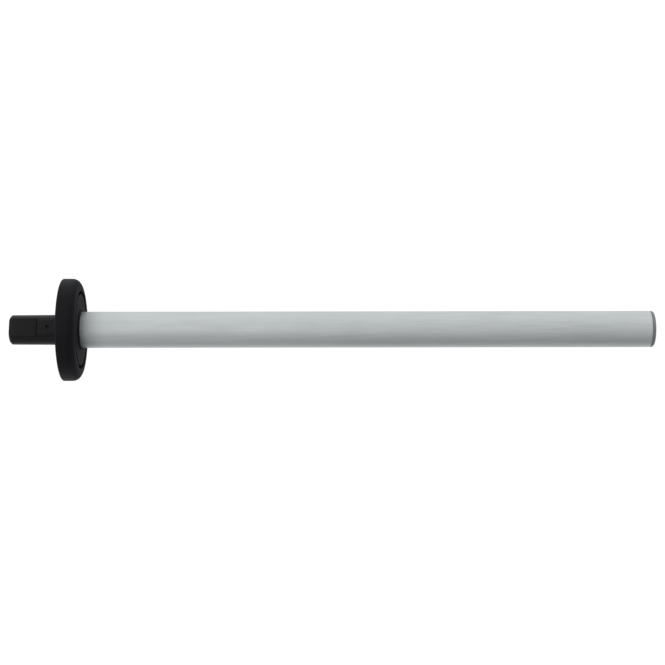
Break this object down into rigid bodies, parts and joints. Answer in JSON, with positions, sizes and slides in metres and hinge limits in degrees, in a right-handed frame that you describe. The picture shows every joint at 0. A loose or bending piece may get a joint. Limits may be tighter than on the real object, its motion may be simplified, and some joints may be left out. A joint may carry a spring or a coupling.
{
  "type": "sharpening steel rod unit",
  "caption": "Hollow round abrasive-coated sharpening rod with a steel tip cap, a round black guard and a keyed spigot that plugs into a handle.",
  "frame": {"origin": "centre of the spigot's flat end, on the rod's axis", "axes": "+X along the rod from the spigot to the tip, +Z out of the spigot's key flat"},
  "size_m": [0.292, 0.0466, 0.0466],
  "materials": {
    "coated_rod": "satin, fine abrasive coat",
    "bare_steel": "turned, uncoated",
    "tang_steel": "turned",
    "guard_plastic": "moulded, fine matt texture",
    "spigot_plastic": "moulded, satin",
    "seal_rubber": "matt"
  },
  "bodies": {
    "root": {"rod_tube": "coated_rod", "tip_cap": "bare_steel", "tip_seal": "seal_rubber", "tang": "tang_steel", "shoulder_washer": "tang_steel", "root_seal": "seal_rubber", "guard": "guard_plastic", "guard_face_plate": "guard_plastic", "spigot": "spigot_plastic", "cross_pin": "tang_steel"}
  },
  "joints": []
}
